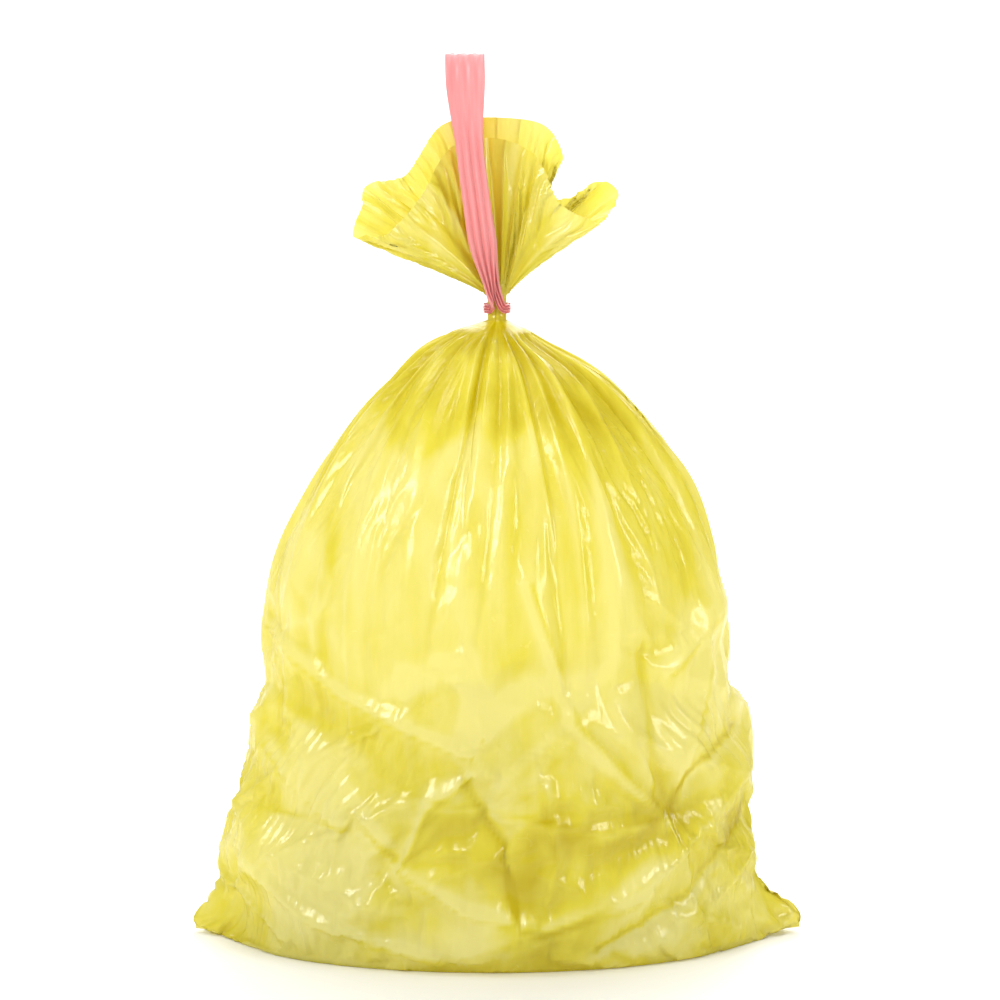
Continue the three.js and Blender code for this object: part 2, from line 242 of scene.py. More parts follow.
@dataclass(frozen=True)
class FilmOutline:
    """The bag's smooth form, with the same sizes as the solid film bag."""

    body_height: float = 424 * MM
    half_width: float = 184 * MM
    half_depth: float = 122 * MM
    left_ear: float = 27 * MM
    right_ear: float = 33.2 * MM
    ear_height: float = 13 * MM
    ear_thickness: float = 24 * MM
    ear_spread: float = 0.17
    ear_point: float = 1.35
    ear_drawn: float = 1.14
    neck_radius: float = 6.4 * MM
    neck_length: float = 16 * MM
    frill_length: float = 120 * MM
    rim_corners: float = 0.65
    pleat_count: int = 21
    pleat_depth: float = 5.5 * MM
    pleat_length: float = 290 * MM
    slack_depth: float = 7 * MM
    slack_height: float = 270 * MM
    # The two sets of slack folds: waves round the bag, and the radians they turn in each 100 mm up
    # and at the start.
    slack_folds: tuple[Triple, ...] = ((3, 5.6, 0.4), (4, -5.1, 1.1))
    # The outline's heights, each with its reach to the left, right, front and back, as shares of
    # the body's sizes.
    stations: tuple[tuple[float, ...], ...] = (
        (0.0, 0.965, 0.93, 0.86, 0.86), (0.045, 1.0, 0.965, 0.945, 0.945),
        (0.11, 1.025, 0.97, 0.985, 0.985), (0.175, 1.015, 0.975, 0.99, 1.0),
        (0.24, 0.975, 0.955, 0.975, 1.0), (0.305, 0.925, 0.957, 0.985, 1.0),
        (0.37, 0.885, 0.9, 1.0, 1.0), (0.42, 0.86, 0.852, 1.0, 0.995),
        (0.53, 0.848, 0.84, 0.98, 0.98), (0.63, 0.805, 0.8, 0.94, 0.94),
        (0.727, 0.71, 0.715, 0.85, 0.85), (0.79, 0.63, 0.62, 0.76, 0.76),
        (0.856, 0.52, 0.5, 0.63, 0.63), (0.92, 0.375, 0.36, 0.46, 0.46),
        (0.97, 0.225, 0.17, 0.26, 0.26),
    )
    # The rim from the right-hand side round by the back: x, y and height above the frill's foot, as
    # shares of the frill's length.
    rim: tuple[Triple, ...] = (
        (0.69, 0.0, 0.58), (0.61, 0.12, 0.66), (0.44, 0.1, 0.56), (0.28, 0.05, 0.52),
        (0.35, 0.035, 0.8), (0.26, 0.0354, 0.98), (0.0, 0.0354, 1.0), (-0.3, 0.0354, 0.99),
        (-0.42, 0.12, 0.8), (-0.53, 0.2, 0.64), (-0.76, 0.1, 0.63), (-0.74, -0.05, 0.52),
        (-0.82, -0.16, 0.36), (-0.6, -0.26, 0.36), (-0.4, -0.12, 0.58), (-0.26, -0.0354, 0.85),
        (-0.02, -0.032, 0.9), (0.2, -0.0354, 0.82), (0.34, -0.15, 0.52), (0.56, -0.18, 0.42),
    )

    def reaches(self, shares: Array) -> Array:
        """Read the outline along its stations.

        Args:
            shares: Where to read, from the floor at 0 to the neck at 1.

        Returns:
            Columns of left, right, front and back reach and height, in metres.
        """
        wide, deep = self.neck_radius / self.half_width, self.neck_radius / self.half_depth
        rows = [(*reach, height) for height, *reach in self.stations]
        rows.append((wide, wide, deep, deep, 1.0))
        scale = [self.half_width] * 2 + [self.half_depth] * 2 + [self.body_height]
        return catmull(np.array(rows) * scale, shares)

    def main_folds(self, angles: Array, heights: Array) -> Array:
        """Find how far the main folds lift the film: the pleats from the neck and the slack below.

        Args:
            angles: The columns' angles.
            heights: The height of every point above the floor.

        Returns:
            The lift of each point along its normal, in metres.
        """
        away = self.body_height - heights
        apart = FULL_TURN / self.pleat_count
        lift = np.zeros_like(heights)
        for i in range(self.pleat_count):
            sway = 0.3 * math.sin(3.7 * i) * (np.maximum(away, 0) / self.body_height) ** 1.5
            middle = (i + 0.35 * math.sin(5.1 * i)) * apart + sway
            gap = (angles[None, :] - middle + math.pi) % FULL_TURN - math.pi
            length = self.pleat_length * (0.65 + 0.35 * math.sin(2.3 * i))
            depth = self.pleat_depth * (-1 if i % 2 else 1) * (0.8 + 0.2 * math.cos(1.7 * i))
            along = smoothstep(away, 8 * MM, 70 * MM) * (1 - smoothstep(away, 0.5 * length, length))
            lift += depth * np.exp(-np.abs(gap) / (0.3 * apart)) * along
        low = smoothstep(heights, 4 * MM, 45 * MM)
        low *= 1 - smoothstep(heights, 0.55 * self.slack_height, self.slack_height)
        for waves, turn, start in self.slack_folds:
            phase = waves * angles[None, :] + turn * heights / (100 * MM) + start
            lift += 0.5 * self.slack_depth * low * ((1 - np.abs(np.sin(phase))) ** 2 - 0.4)
        return lift

    def ear_shape(self, angles: Array) -> Array:
        """Tell how far the sealed corners reach out.

        Args:
            angles: The columns' angles.

        Returns:
            The reach at each angle, in metres, below zero on the left.
        """
        right = np.arctan2(np.sin(angles), np.cos(angles)) / self.ear_spread
        left = np.arctan2(-np.sin(angles), -np.cos(angles)) / self.ear_spread
        right, left = np.abs(right) ** self.ear_point, np.abs(left) ** self.ear_point
        return self.ear_drawn * (self.right_ear * np.exp(-right) - self.left_ear * np.exp(-left))

    def body(self, angles: Array, rows: int) -> Array:
        """Make the side of the bag, from the edge of its base to the neck.

        Args:
            angles: The columns' angles.
            rows: How many rows to make, evenly spaced up the front.

        Returns:
            Rows, columns and three coordinates.
        """
        fine = self.reaches(np.linspace(0, 1, 2000))
        travelled = lengths_along(fine[:, [2, 4]])
        steps = np.linspace(0, travelled[-1], rows)
        reach = np.stack([np.interp(steps, travelled, column) for column in fine.T], axis=-1)
        cos, sin = np.cos(angles)[None, :], np.sin(angles)[None, :]
        x = cos * np.where(cos > 0, reach[:, 1:2], reach[:, 0:1])
        y = sin * np.where(sin > 0, reach[:, 3:4], reach[:, 2:3])
        z = np.repeat(reach[:, 4:5], len(angles), axis=1)
        side = np.stack([x, y, z], axis=-1)
        side = side + grid_normals(side) * self.main_folds(angles, z)[:, :, None]
        x, y, z = side[:, :, 0], side[:, :, 1], side[:, :, 2]
        ear = self.ear_shape(angles)[None, :]
        lift = self.ear_height * 0.5 * (np.abs(ear) / self.right_ear) ** 2
        above = np.maximum(z - lift, 0.0) / (self.ear_thickness * 0.7)
        z = lift * np.exp(-z / (3 * self.ear_thickness)) + z
        return np.stack([x + ear * np.exp(-(above**1.15)), y, z], axis=-1)

    def base(self, edge: Array, rows: int) -> Array:
        """Make the underside, from the bottom seal along the middle to the base's edge.

        Args:
            edge: The side's lowest row of points.
            rows: How many rows to make, without the edge itself.

        Returns:
            Rows, columns and three coordinates, the seal first.
        """
        share = np.linspace(0, 1, rows, endpoint=False)[:, None]
        y = edge[None, :, 1] * share
        x = np.repeat(edge[None, :, 0], rows, axis=0)
        z = edge[None, :, 2] * (0.35 + 0.65 * share)
        return np.stack([x, y, z], axis=-1)

    def frill(self, angles: Array, rows: int) -> Array:
        """Make the frill above the neck, from its foot to its rim.

        Args:
            angles: The columns' angles.
            rows: How many rows to make.

        Returns:
            Rows, columns and three coordinates.
        """
        corners = np.array(self.rim) * self.frill_length
        turns = angles / FULL_TURN
        places = np.arange(len(corners) + 1) / len(corners)
        straight = np.stack([np.interp(turns, places, np.r_[c, c[:1]]) for c in corners.T], axis=-1)
        rim = catmull(corners, turns, closed=True)
        rim = rim + (straight - rim) * self.rim_corners
        share = np.linspace(0, 1, rows)[:, None]
        out = share**1.25
        foot = self.neck_radius
        x = foot * np.cos(angles)[None, :] * (1 - out) + rim[None, :, 0] * out
        y = foot * np.sin(angles)[None, :] * (1 - out) + rim[None, :, 1] * out
        z = self.body_height + self.neck_length + rim[None, :, 2] * share
        return np.stack([x, y, z], axis=-1)


def on_own_side(form: Array, front: bool, low: float, high: float) -> Array:
    """Grade points from 0 to 1 as they come out from the middle plane to the front or back."""
    return smoothstep(-form[:, :, 1] if front else form[:, :, 1], low, high)


@dataclass(frozen=True)
class Crease:
    """A fold laid on the bag's front or back: a line across it, in metres of x and z, with
    its depth and width in millimetres."""

    line: tuple[tuple[float, float], ...]
    depth: float
    width: float
    front: bool = True
    # The line deeper in colour on the right of the fold's line, partly two layers of film and
    # partly painted crease shade, and the painted highlight on the lit slope on its left: tone, how
    # far away in millimetres, and breadth.
    doubled_and_shaded: Triple = (0.2, 2.5, 2.3)
    lit: Triple = (0.13, -3.0, 3.2)

    def away(self, form: Array) -> Array:
        """Find how far each point lies from the fold's line.

        Args:
            form: The grid of points.

        Returns:
            The distances, in metres, below zero on the line's left-hand side.
        """
        x, z = form[:, :, 0], form[:, :, 2]
        nearest = np.full_like(x, np.inf)
        for (ax, az), (bx, bz) in zip(self.line[:-1], self.line[1:]):
            dx, dz = bx - ax, bz - az
            along = np.clip(((x - ax) * dx + (z - az) * dz) / (dx * dx + dz * dz), 0, 1)
            away_x, away_z = x - (ax + along * dx), z - (az + along * dz)
            distance = np.hypot(away_x, away_z) * np.sign(away_x * dz - away_z * dx)
            nearest = np.where(np.abs(distance) < np.abs(nearest), distance, nearest)
        return nearest

    def height(self, form: Array) -> Array:
        """Find how far the fold lifts each point along its normal, in metres.

        Args:
            form: The grid of points.

        Returns:
            The lift of each point.
        """
        across = self.away(form) / (self.width * MM)
        profile = np.exp(-np.abs(across) * 2.2) * (1.0 + 0.35 * np.tanh(across * 2))
        return self.depth * MM * profile * on_own_side(form, self.front, 0.0, 0.02)

    def shade(self, form: Array) -> Array:
        """Find the tone along the fold: a thin line deeper in colour on one side, partly two layers
        of film and partly painted crease shade, and a painted highlight on the other side.

        Args:
            form: The grid of points.

        Returns:
            What the fold adds to the tone.
        """
        away = self.away(form) / MM
        doubled_and_shaded, lit = (
            tone * np.exp(-(((away - place) / breadth) ** 2))
            for tone, place, breadth in (self.doubled_and_shaded, self.lit)
        )
        return (doubled_and_shaded - lit) * on_own_side(form, self.front, 0.0, 0.02)


@dataclass(frozen=True)
class Pinch:
    """A puckered point of the film with folds that radiate from it, in metres of x and z, with its
    depth in millimetres."""

    x: float
    z: float
    depth: float
    reach: float
    rays: int
    turn: float = 0.0
    front: bool = True

    def height(self, form: Array) -> Array:
        """Find how far the pucker lifts each point along its normal, in metres.

        Args:
            form: The grid of points.

        Returns:
            The lift of each point.
        """
        across, up = form[:, :, 0] - self.x, form[:, :, 2] - self.z
        away = np.hypot(across, up) / self.reach
        angle = np.arctan2(up, across) + self.turn
        fan = 1.0 - np.abs(np.sin(0.5 * self.rays * angle + 1.3 * np.sin(angle * 2 + self.turn)))
        dip = -np.exp(-((away * 3.2) ** 2))
        folds = fan * away * np.exp(-away * 2.4) * 2.0
        return self.depth * MM * (dip + folds) * on_own_side(form, self.front, 0.0, 0.02)


@dataclass(frozen=True)
class ToneAndPaintedLightPatch:
    """A soft patch where the film is painted deeper in colour or paler, in metres of x and z:
    deeper partly where its layers lie together or over what it holds and partly as painted shade in
    hollows and near the floor, paler partly where it stands free and partly as painted light."""

    x: float
    z: float
    wide: float
    tall: float
    tone: float
    front: bool = True

    def weight(self, form: Array) -> Array:
        """Find what the patch adds to each point's tone.

        Args:
            form: The grid of points.

        Returns:
            The tone of each point.
        """
        across, up = form[:, :, 0] - self.x, form[:, :, 2] - self.z
        away = (across / self.wide) ** 2 + (up / self.tall) ** 2
        return self.tone * np.exp(-(away**1.9)) * on_own_side(form, self.front, -0.01, 0.03)


@dataclass(frozen=True)
class FilmSheet:
    """The film of the bag as one sheet: its grid, its folds and how it is relaxed."""

    name: str = "film_bag_sheet"
    columns: int = 448
    base_rows: int = 14
    body_rows: int = 146
    frill_rows: int = 36
    flat_girth: float = 1.0
    flat_length: float = 0.7
    relax_rounds: int = 90
    seed: int = 11
    pleat_count: int = 58
    stiffness: float = 0.006
    fold_strength: float = 2.0
    fold_lean: float = 1.5
    lift_limit: float = 11.0 * MM
    wander: float = 10 * MM
    patch_strength: float = 0.72
    row_step: float = 3.3 * MM
    column_step: float = 2.2 * MM
    # How much longer than the smooth form the film is: round it, more at the neck, in the frill and
    # near the floor, and up it, more near the floor.
    slack_round: tuple[float, ...] = (1.05, 0.2, 0.14, 0.03)
    slack_up: tuple[float, float] = (1.015, 0.02)
    # How far it may move in and out from the smooth form, on the base, the side and the frill.
    room_in: Triple = (0.5 * MM, 11.0 * MM, 5.0 * MM)
    room_out: Triple = (0.2 * MM, 7.0 * MM, 5.0 * MM)
    sag: float = 0.012 * MM
    pull_straight: float = 0.9
    pull_slanted: float = 0.5
    outline: FilmOutline = field(default_factory=FilmOutline)
    # Each set of crumples: the rows and columns of one facet, how far its creases wander, its
    # height in millimetres on the upper half, and what the lower half adds to that.
    crumples: tuple[tuple[float, ...], ...] = (
        (22, 34, 0.4, 0.9, 1.5), (11, 17, 0.45, 0.35, 1.1), (6, 9, 0.5, 0.1, 0.42),
        (38, 14, 0.5, 1.35, -0.7), (24, 7, 0.5, 0.55, -0.25),
    )
    # What is laid one by one: after the photograph on the front, and guessed on the back, in the
    # rows that end in False.
    creases: tuple[Crease, ...] = tuple(Crease(*row) for row in (
        (((-0.153, 0.218), (-0.11, 0.19), (-0.066, 0.17), (-0.018, 0.15)), 6.0, 9),
        (((-0.142, 0.165), (-0.1, 0.118), (-0.063, 0.074)), 6.5, 12),
        (((-0.063, 0.074), (-0.045, 0.115), (-0.02, 0.136)), 5.5, 10),
        (((-0.063, 0.074), (-0.09, 0.092), (-0.15, 0.098)), -5.0, 11),
        (((-0.155, 0.14), (-0.12, 0.105), (-0.08, 0.084)), 4.5, 8),
        (((0.118, 0.1), (0.085, 0.13), (0.05, 0.17), (0.02, 0.26)), 4.5, 8),
        (((0.118, 0.1), (0.13, 0.15), (0.14, 0.23)), 5.0, 8),
        (((0.118, 0.1), (0.1, 0.15), (0.095, 0.215)), -4.0, 8),
        (((0.118, 0.1), (0.075, 0.095), (0.03, 0.105), (-0.04, 0.118)), 5.5, 10),
        (((0.178, 0.125), (0.12, 0.07), (0.05, 0.035), (-0.02, 0.012)), 5.0, 10),
        (((0.185, 0.1), (0.13, 0.045), (0.07, 0.015)), -4.5, 10),
        (((-0.06, 0.07), (-0.02, 0.045), (0.03, 0.033), (0.09, 0.05)), 5.0, 12),
        (((-0.02, 0.135), (0.005, 0.09), (0.015, 0.04)), -6.0, 14),
        (((0.03, 0.13), (0.04, 0.08), (0.03, 0.04)), 5.0, 9),
        (((0.115, 0.2), (0.15, 0.235)), 5.0, 9),
        (((-0.018, 0.215), (-0.008, 0.165)), 5.0, 8),
        (((-0.17, 0.06), (-0.12, 0.03), (-0.04, 0.012)), 4.0, 9),
        (((0.165, 0.15), (0.13, 0.13), (0.118, 0.1)), -5.0, 8),
        (((-0.15, 0.22), (-0.06, 0.17), (0.03, 0.14)), 6.0, 10, False),
        (((0.15, 0.24), (0.08, 0.15), (0.03, 0.14)), 5.0, 9, False),
        (((0.03, 0.14), (-0.02, 0.08), (-0.12, 0.05)), 6.0, 11, False),
        (((0.16, 0.12), (0.09, 0.05), (-0.02, 0.025)), -5.5, 10, False),
        (((-0.16, 0.12), (-0.1, 0.09), (0.0, 0.1)), 4.5, 9, False),
    ))
    pinches: tuple[Pinch, ...] = tuple(Pinch(*row) for row in (
        (0.118, 0.102, 7.0, 0.075, 11, 0.4), (-0.15, 0.215, 4.5, 0.05, 9, 1.1),
        (-0.063, 0.076, 4.0, 0.05, 8, 2.0), (0.14, 0.215, 3.0, 0.045, 8, 0.2),
        (0.03, 0.14, 5.0, 0.06, 10, 0.9, False), (-0.11, 0.06, 4.0, 0.05, 9, 0.5, False),
    ))
    # Deeper patches: partly the film's own tone, partly painted shade; paler patches: partly film
    # standing free, partly painted light.
    patches: tuple[ToneAndPaintedLightPatch, ...] = tuple(ToneAndPaintedLightPatch(*row) for row in (
        (0.026, 0.387, 0.08, 0.034, 0.42), (-0.045, 0.376, 0.032, 0.026, 0.3),
        (0.072, 0.362, 0.045, 0.034, 0.26), (0.033, 0.06, 0.03, 0.045, 0.62),
        (-0.032, 0.081, 0.042, 0.028, 0.3), (0.084, 0.088, 0.055, 0.026, 0.36),
        (0.0, 0.006, 0.17, 0.013, 0.34), (0.165, 0.108, 0.022, 0.04, 0.34),
        (-0.14, 0.177, 0.028, 0.026, 0.24), (-0.198, 0.014, 0.026, 0.014, 0.36),
        (-0.113, 0.3, 0.028, 0.055, 0.14), (-0.01, 0.19, 0.06, 0.022, -0.42),
        (-0.12, 0.082, 0.038, 0.045, -0.42), (-0.127, 0.143, 0.027, 0.028, -0.3),
        (0.131, 0.163, 0.028, 0.05, -0.14), (0.131, 0.22, 0.022, 0.017, -0.34),
        (0.11, 0.04, 0.055, 0.017, -0.24), (-0.134, 0.273, 0.013, 0.034, -0.28),
        (-0.012, 0.349, 0.024, 0.038, -0.22), (0.0, 0.36, 0.11, 0.045, 0.34, False),
        (0.07, 0.07, 0.06, 0.05, 0.4, False), (-0.07, 0.1, 0.06, 0.035, -0.3, False),
        (0.03, 0.2, 0.09, 0.03, -0.3, False), (0.0, 0.006, 0.17, 0.013, 0.34, False),
    ))

    def smooth_form(self) -> tuple[Array, Array]:
        """Lay the whole sheet out on the bag's smooth form.

        Returns:
            The grid of points from the bottom seal to the rim, and for each row its share of the
            way: 0 to 1 over the base, 1 to 2 up the side, 2 to 3 up the frill.
        """
        angles = np.arange(self.columns) * FULL_TURN / self.columns
        body = self.outline.body(angles, self.body_rows)
        base = self.outline.base(body[0], self.base_rows)
        frill = self.outline.frill(angles, self.frill_rows)
        neck_steps = np.array([1.0, 2.0])[:, None, None] / 3
        neck = body[-1][None] * (1 - neck_steps) + frill[0][None] * neck_steps
        stage = np.r_[
            np.linspace(0, 1, self.base_rows, endpoint=False),
            np.linspace(1, 2, self.body_rows),
            np.full(2, 2.0),
            np.linspace(2, 3, self.frill_rows),
        ]
        return np.concatenate([base, body, neck, frill]), stage

    def pleats(self, form: Array, stage: Array) -> Array:
        """Gather the film towards the neck in pleats of many lengths.

        Args:
            form: The smooth grid.
            stage: Each row's share of the way.

        Returns:
            The pleats' lift at each point, in metres.
        """
        rng = np.random.default_rng(self.seed)
        angles = np.arange(self.columns)[None, :] * FULL_TURN / self.columns
        neck = np.array([0, 0, self.outline.body_height])
        away = np.linalg.norm(form - neck, axis=2).mean(axis=1)[:, None]
        side = ((stage >= 1) & (stage <= 2))[:, None]
        above = (stage > 2)[:, None]
        lift = np.zeros(form.shape[:2])
        for i in range(self.pleat_count):
            place = (i + rng.uniform(-0.4, 0.4)) * FULL_TURN / self.pleat_count
            length = rng.choice([0.07, 0.12, 0.19, 0.28, 0.38]) * rng.uniform(0.8, 1.2)
            depth = rng.uniform(0.55, 1.0) * (1 if i % 2 else -1)
            sway = rng.uniform(-0.3, 0.3)
            width = rng.uniform(0.03, 0.055)
            drift = place + sway * np.clip(away / 0.4, 0, 1) ** 1.5
            gap = (angles - drift + math.pi) % FULL_TURN - math.pi
            ridge = np.exp(-np.abs(gap) / width) * (1 + 0.5 * np.tanh(3 * gap / width))
            rise = smoothstep(away, 0.0, 0.045) * (1 - smoothstep(away, 0.5 * length, length))
            lift += side * depth * ridge * rise * (2.6 + 4.4 * np.clip(away / 0.1, 0, 1)) * MM
            fan = smoothstep(away, 0.016, 0.06) * (1 - 0.75 * smoothstep(stage, 2.7, 3.0))[:, None]
            lift += above * depth * ridge * fan * 4.2 * MM
        return lift

    def crumple(self, form: Array, stage: Array) -> Array:
        """Crumple the film all over: long soft folds above, facets with sharp edges below.

        Args:
            form: The smooth grid.
            stage: Each row's share of the way.

        Returns:
            The crumples' lift at each point, in metres.
        """
        shape = form.shape[:2]
        z = form[:, :, 2]
        low = 1 - smoothstep(z, 0.1, 0.26)
        side = smoothstep(stage, 0.9, 1.05)[:, None]
        below = (1 - smoothstep(stage, 1.9, 2.0))[:, None]
        rows, columns = shape
        lift = soft_noise(shape, 95, 50, self.seed + 6) * 1.6 * MM
        for i, (tall, wide, warp, above, added) in enumerate(self.crumples):
            crumples = facets(shape, (rows // tall, columns // wide), warp, self.seed + 1 + i)
            lift += crumples * (above + added * low) * MM
        lift += self.slanted_folds(form, self.seed + 20) * 1.35 * low * MM
        return lift * side * below

    def laid_folds(self, form: Array, stage: Array) -> Array:
        """Add up the listed folds and puckers.

        Args:
            form: The smooth grid.
            stage: Each row's share of the way.

        Returns:
            Their lift at each point, in metres.
        """
        on_side = (smoothstep(stage, 1.0, 1.04) * (1 - smoothstep(stage, 1.9, 2.0)))[:, None]
        lift = sum(crease.height(form) for crease in self.creases)
        lift = lift + sum(pinch.height(form) for pinch in self.pinches)
        return self.fold_strength * lift * on_side

    def tones(self, form: Array, folds: Array) -> Array:
        """Grade the film's tone: listed patches with wandering edges, painted lines along the
        folds, painted light and shade on the slopes, and painted highlights on the ridges.

        Args:
            form: The smooth grid.
            folds: How far the folds lift each point.

        Returns:
            What each point adds to the tone, above zero where the film is deeper in colour.
        """
        shape = form.shape[:2]
        low = 1 - smoothstep(form[:, :, 2], 0.14, 0.3)
        slanted = self.slanted_folds(form, self.seed + 20)
        cells = (shape[0] // 12, shape[1] // 16)
        warped = form.copy()
        warped[:, :, 0] += self.wander * facets(shape, cells, 0.2, self.seed + 7)
        warped[:, :, 0] += self.wander / 2 * slanted
        warped[:, :, 2] += self.wander * facets(shape, cells, 0.2, self.seed + 8)
        tone = self.patch_strength * sum(patch.weight(warped) for patch in self.patches)
        streaks = facets(shape, (shape[0] // 34, shape[1] // 7), 0.4, self.seed + 9)
        tone += 0.06 * streaks * (1 - low) + 0.04 * slanted * low
        # Painted crease shade and painted highlights along each fold, with the deeper tone of two
        # layers of film.
        tone += sum(crease.shade(form) for crease in self.creases)
        # Painted light and shade: slopes that face down are painted deeper and slopes that face
        # left paler, as if lit from above and from the left.
        facing_down = np.gradient(folds, axis=0) / self.row_step
        facing_left = (np.roll(folds, -1, 1) - np.roll(folds, 1, 1)) / (2 * self.column_step)
        painted_slope_shade = 0.14 * np.clip(facing_down, -0.8, 0.8) - 0.12 * np.clip(facing_left, -0.8, 0.8)
        # Painted highlights and shade: ridges that the folds lift out are painted paler and sunken
        # folds deeper.
        return tone + painted_slope_shade - np.clip(folds / (32 * MM), -0.16, 0.16)

    def slanted_folds(self, form: Array, seed: int) -> Array:
        """Make long narrow folds that slant down towards the middle from each side.

        Args:
            form: The smooth grid.
            seed: Seed of the random numbers.

        Returns:
            The field, one number for each grid point, with a spread of about one.
        """
        shape = form.shape[:2]
        straight = facets(shape, (shape[0] // 30, shape[1] // 9), 0.35, seed)
        leaning = [np.empty(shape), np.empty(shape)]
        for row in range(shape[0]):
            for field_values, lean in zip(leaning, (-self.fold_lean, self.fold_lean)):
                field_values[row] = np.roll(straight[row], round(lean * row))
        on_right = smoothstep(form[:, :, 0] * np.sign(-form[:, :, 1]), -0.03, 0.03)
        return leaning[0] * (1 - on_right) + leaning[1] * on_right

    def relax(self, start: Array, form: Array, stage: Array) -> Array:
        """Let the creased film settle: it keeps its own length and breadth, resists bending, sags,
        and stays between what it holds and the bag's outline.

        Args:
            start: The creased grid.
            form: The smooth grid.
            stage: Each row's share of the way.

        Returns:
            The settled grid.
        """
        points = start.copy()
        normals = grid_normals(form)
        z = form[:, :, 2]
        near_neck = 1 - smoothstep(np.abs(stage - 2), 0.0, 0.5)
        near_floor = 1 - smoothstep(z, 0.05, 0.2)
        everywhere, at_neck, in_frill, at_floor = self.slack_round
        slack_round = (everywhere + at_neck * near_neck + in_frill * (stage > 2))[:, None]
        slack_round = slack_round + at_floor * near_floor
        slack_up = self.slack_up[0] + self.slack_up[1] * near_floor
        rest_round = np.linalg.norm(np.roll(form, -1, 1) - form, axis=2) * slack_round
        rest_up = np.linalg.norm(form[1:] - form[:-1], axis=2) * slack_up[:-1]
        rest_slant = np.sqrt(rest_round[:-1] ** 2 + rest_up**2)
        zones = [stage < 1, stage < 2, stage >= 2]
        room_in = np.select(zones, self.room_in)[:, None]
        room_out = np.select(zones, self.room_out)[:, None]
        off_neck = smoothstep(np.abs(stage - 2.0), 0.004, 0.05)
        hold = np.minimum(smoothstep(stage, 0.0, 0.35), off_neck)[:, None, None]

        def pull(a: Array, b: Array, rest: Array, strength: float) -> None:
            """Move two sets of points towards their rest distance, in place.

            Args:
                a: The first point of each pair.
                b: The second point of each pair.
                rest: The distances that they return to.
                strength: How much of the way they move.
            """
            gap = b - a
            far = np.maximum(np.linalg.norm(gap, axis=2), 1e-9)
            move = gap * ((far - rest) / far * 0.5 * strength)[:, :, None]
            a += move
            b -= move

        rows = len(points)
        for _ in range(self.relax_rounds):
            points[:, :, 2] -= self.sag
            for first in (0, 1):
                rolled = np.roll(points, -first, 1)
                rest = np.roll(rest_round, -first, 1)
                pull(rolled[:, 0::2], rolled[:, 1::2], rest[:, 0::2], self.pull_straight)
                points = np.roll(rolled, first, 1)
                even = (rows - first) // 2 * 2
                block = points[first : first + even]
                up_rest = rest_up[first : first + even : 2][: even // 2]
                pull(block[0::2], block[1::2], up_rest, self.pull_straight)
                for lean in (1, -1):
                    slanted = np.roll(block[1::2], -lean, 1)
                    side_rest = rest_slant[first : first + even : 2][: even // 2]
                    pull(block[0::2], slanted, side_rest, self.pull_slanted)
                    block[1::2] = np.roll(slanted, lean, 1)
            middle = 0.5 * (np.roll(points, -1, 1) + np.roll(points, 1, 1))
            points += (middle - points) * self.stiffness
            middle = 0.5 * (points[2:] + points[:-2])
            points[1:-1] += (middle - points[1:-1]) * self.stiffness
            points = form + (points - form) * hold
            offset = points - form
            out = (offset * normals).sum(axis=2)
            points += normals * (np.clip(out, -room_in, room_out) - out)[:, :, None]
            points[:, :, 2] = np.maximum(points[:, :, 2], 0.0)
        return points

    def build(self) -> Piece:
        """Make the film's mesh, and store at each point how gathered it is, its tone with painted
        light and shade, and how far up the frill it lies.

        Returns:
            The film as one object, dressed later.
        """
        form, stage = self.smooth_form()
        normals = grid_normals(form)
        lift = self.pleats(form, stage) + self.crumple(form, stage) + self.laid_folds(form, stage)
        lift = self.lift_limit * np.tanh(lift / self.lift_limit)
        off_neck = smoothstep(np.abs(stage - 2.0), 0.0, 0.03)
        still = np.minimum(smoothstep(stage, 0.95, 1.04), off_neck)
        points = form + normals * (lift * still[:, None])[:, :, None]
        points = self.relax(points, form, stage)
        points[:, :, 2] = np.maximum(points[:, :, 2], 0.0)
        piece = add_mesh(self.name, points, grid_faces(*points.shape[:2]).tolist())
        around = np.linalg.norm(np.roll(points, -1, 1) - points, axis=2).sum(axis=1)
        layers = np.clip(self.flat_girth / np.maximum(around, 0.03), 1.0, 8.0)
        gathered = np.repeat(smoothstep(np.log2(layers), 0.3, 2.2)[:, None], self.columns, axis=1)
        give_values(piece, "gathered", gathered)
        # The stored tone holds painted light and shade besides the film's own tone.
        give_values(piece, "tone", self.tones(form, lift))
        rim_share = np.repeat(np.clip(stage - 2, 0, 1)[:, None], self.columns, axis=1)
        give_values(piece, "frill", rim_share)
        LOG.info("%s: %d points", piece.name, len(piece.data.vertices))
        return piece


